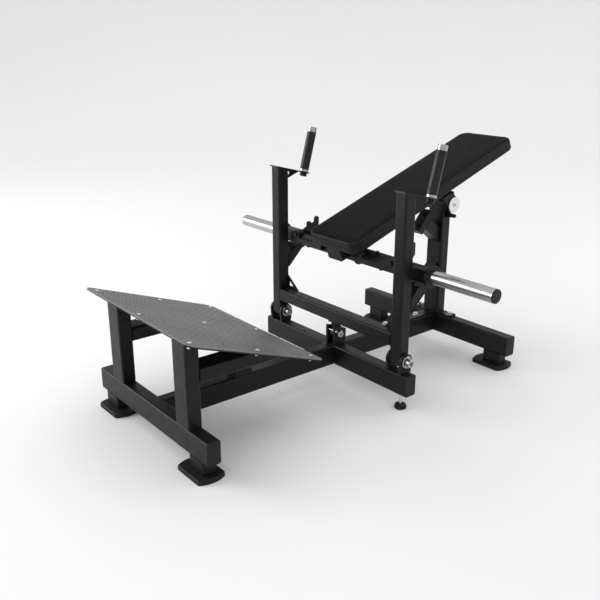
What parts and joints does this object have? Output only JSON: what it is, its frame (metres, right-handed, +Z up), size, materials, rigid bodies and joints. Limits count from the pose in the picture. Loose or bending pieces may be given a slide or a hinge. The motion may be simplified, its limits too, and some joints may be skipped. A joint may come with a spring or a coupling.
{
  "type": "hip thrust machine",
  "caption": "Plate-loaded hip thrust machine: low steel base, sloping foot platform, pivoting padded back rest with weight sleeves, and a hinged catch frame with upright hand grips.",
  "frame": {"origin": "on the floor, under the centre of the machine's bounding box", "axes": "+X across the machine to the user's left when lying on the back rest, +Y from the foot platform to the rear post, +Z up"},
  "size_m": [1.382, 1.7516, 0.9422],
  "materials": {
    "frame_paint": "satin black powder coat",
    "plate_paint": "satin black powder coat",
    "tread": "grey anti-slip sheet with a fine raised pattern",
    "plastic": "moulded matte black",
    "rubber": "matte black",
    "chrome": "polished chrome plate",
    "zinc_steel": "bright zinc plate",
    "satin_steel": "satin turned face",
    "black_steel": "black oxide",
    "bronze": "sintered bronze",
    "vinyl": "smooth black upholstery vinyl",
    "board": "plywood, edge stained dark"
  },
  "bodies": {
    "base": {"front_crossbar": "frame_paint", "middle_crossbar": "frame_paint", "rear_crossbar": "frame_paint", "front_spine": "frame_paint", "rear_spine": "frame_paint", "crossbar_end_caps": "plastic", "foot_blocks": "frame_paint", "foot_pads": "rubber", "leveller_nuts": "zinc_steel", "platform_legs": "frame_paint", "platform_rails": "frame_paint", "platform_cross_tube": "frame_paint", "platform_centre_post": "frame_paint", "foot_plate": "plate_paint", "foot_tread": "tread", "tread_bolts": "zinc_steel", "side_hinge_lugs": "frame_paint", "centre_hinge_plates": "frame_paint", "tilt_bumper": "rubber", "catch_hinge_pins": "chrome", "rear_post": "frame_paint", "pivot_housing": "frame_paint", "pivot_bearings": "zinc_steel", "mounting_plates": "frame_paint", "diagonal_brace": "frame_paint", "frame_bolts": "zinc_steel", "lower_stop_bracket": "frame_paint", "lock_pin_barrel": "black_steel"},
    "catch_frame": {"catch_upright_right": "frame_paint", "catch_upright_left": "frame_paint", "catch_crossbar": "frame_paint", "catch_bushes": "bronze", "catch_gussets": "frame_paint", "catch_struts": "frame_paint", "rest_plates": "frame_paint", "rest_rubbers": "rubber", "catch_centre_arm": "frame_paint", "handle_plates": "frame_paint", "handle_rods": "zinc_steel", "handle_ferrules": "chrome", "handle_grips": "rubber"},
    "back_rest": {"pad_cushion": "vinyl", "pad_board": "board", "pad_support_tube": "frame_paint", "pad_bolts": "zinc_steel", "weight_beam": "frame_paint", "sleeve_collars": "frame_paint", "weight_sleeve_right": "chrome", "weight_sleeve_left": "chrome", "back_rest_end_caps": "plastic", "pivot_bracket": "frame_paint", "pivot_shaft": "zinc_steel", "pivot_caps": "satin_steel", "belt_brackets": "frame_paint", "belt_hooks": "black_steel"},
    "lock_pin": {"lock_pin": "black_steel"},
    "leveller_right": {"leveller_foot_right": "rubber", "leveller_stem_right": "zinc_steel"},
    "leveller_left": {"leveller_foot_left": "rubber", "leveller_stem_left": "zinc_steel"}
  },
  "joints": [
    {"name": "catch_frame_hinge", "type": "hinge", "parent": "base", "child": "catch_frame", "pos_m": [0, -0.00975, 0.187], "axis": [1, 0, 0], "range_deg": [0, 18]},
    {"name": "back_rest_pivot", "type": "hinge", "parent": "base", "child": "back_rest", "pos_m": [0, 0.57525, 0.629], "axis": [-1, 0, 0], "range_deg": [0, 22]},
    {"name": "lock_pin_pull", "type": "slide", "parent": "base", "child": "lock_pin", "axis": [1, 0, 0], "range_m": [0, 0.012], "stiffness_N_per_m": 500, "springref_m": -0.01},
    {"name": "leveller_right_screw", "type": "slide", "parent": "base", "child": "leveller_right", "axis": [0, 0, 1], "range_m": [-0.005, 0.015]},
    {"name": "leveller_left_screw", "type": "slide", "parent": "base", "child": "leveller_left", "axis": [0, 0, 1], "range_m": [-0.005, 0.015]}
  ]
}
